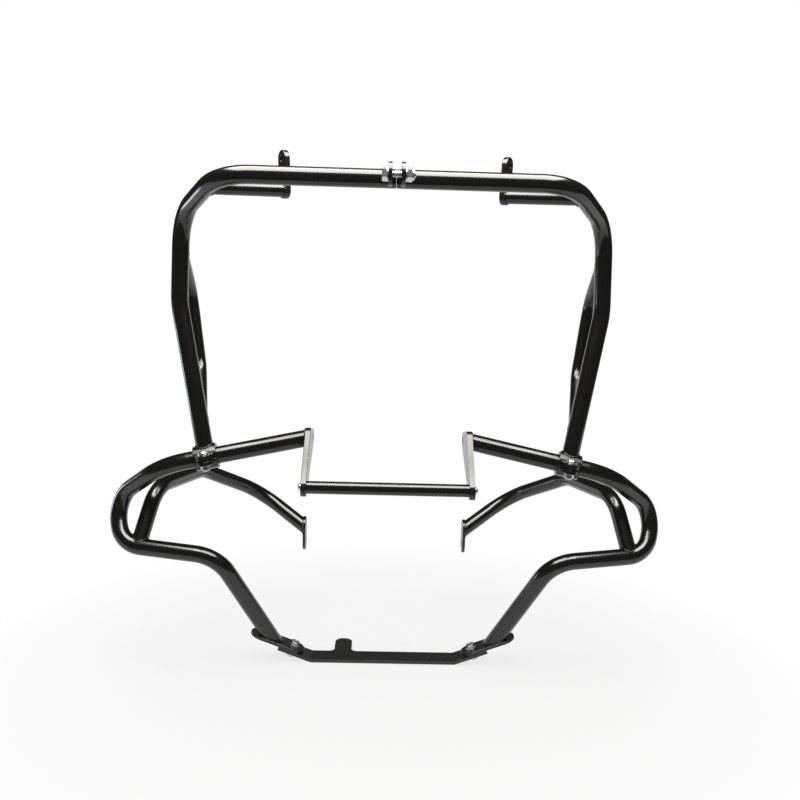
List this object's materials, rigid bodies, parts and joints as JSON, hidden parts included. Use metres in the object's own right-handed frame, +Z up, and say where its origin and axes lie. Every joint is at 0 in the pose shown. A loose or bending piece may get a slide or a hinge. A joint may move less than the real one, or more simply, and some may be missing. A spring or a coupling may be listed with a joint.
{
  "type": "motorcycle crash bars",
  "caption": "Motorcycle crash bars of bent round tube: side loops and a clamped upper hoop guard the engine, held by tabs, drop plates, rear flanges and a bottom strip.",
  "frame": {"origin": "middle of the bottom strip's flat underside", "axes": "+X to the rider's left along the strip, +Y to the rear, +Z up"},
  "size_m": [0.8278, 0.4491, 0.764],
  "materials": {
    "tube_coat": "gloss black powder coat on steel tube",
    "plate_coat": "gloss black powder coat on steel plate",
    "clamp_coat": "gloss black powder coat on the clamp halves",
    "zinc": "bright zinc plating"
  },
  "bodies": {
    "root": {"bottom_strip": "plate_coat", "centre_bolt": "zinc", "centre_nut": "zinc", "centre_washers": "zinc", "cross_rod": "tube_coat", "left_centre_lug": "plate_coat", "left_clamp_bolts": "zinc", "left_clamp_lower": "clamp_coat", "left_clamp_nuts": "zinc", "left_clamp_upper": "clamp_coat", "left_clamp_washers": "zinc", "left_drop_plate": "plate_coat", "left_foot_bolt": "zinc", "left_foot_nut": "zinc", "left_foot_plate": "plate_coat", "left_foot_washers": "zinc", "left_loop_tube": "tube_coat", "left_mount_stay": "tube_coat", "left_mount_tab": "plate_coat", "left_rear_flange": "plate_coat", "left_rear_tube": "tube_coat", "left_rod_screw": "zinc", "left_side_stay": "tube_coat", "left_upper_tube": "tube_coat", "right_centre_lug": "plate_coat", "right_clamp_bolts": "zinc", "right_clamp_lower": "clamp_coat", "right_clamp_nuts": "zinc", "right_clamp_upper": "clamp_coat", "right_clamp_washers": "zinc", "right_drop_plate": "plate_coat", "right_foot_bolt": "zinc", "right_foot_nut": "zinc", "right_foot_plate": "plate_coat", "right_foot_washers": "zinc", "right_loop_tube": "tube_coat", "right_mount_stay": "tube_coat", "right_mount_tab": "plate_coat", "right_rear_flange": "plate_coat", "right_rear_tube": "tube_coat", "right_rod_screw": "zinc", "right_side_stay": "tube_coat", "right_upper_tube": "tube_coat"}
  },
  "joints": []
}
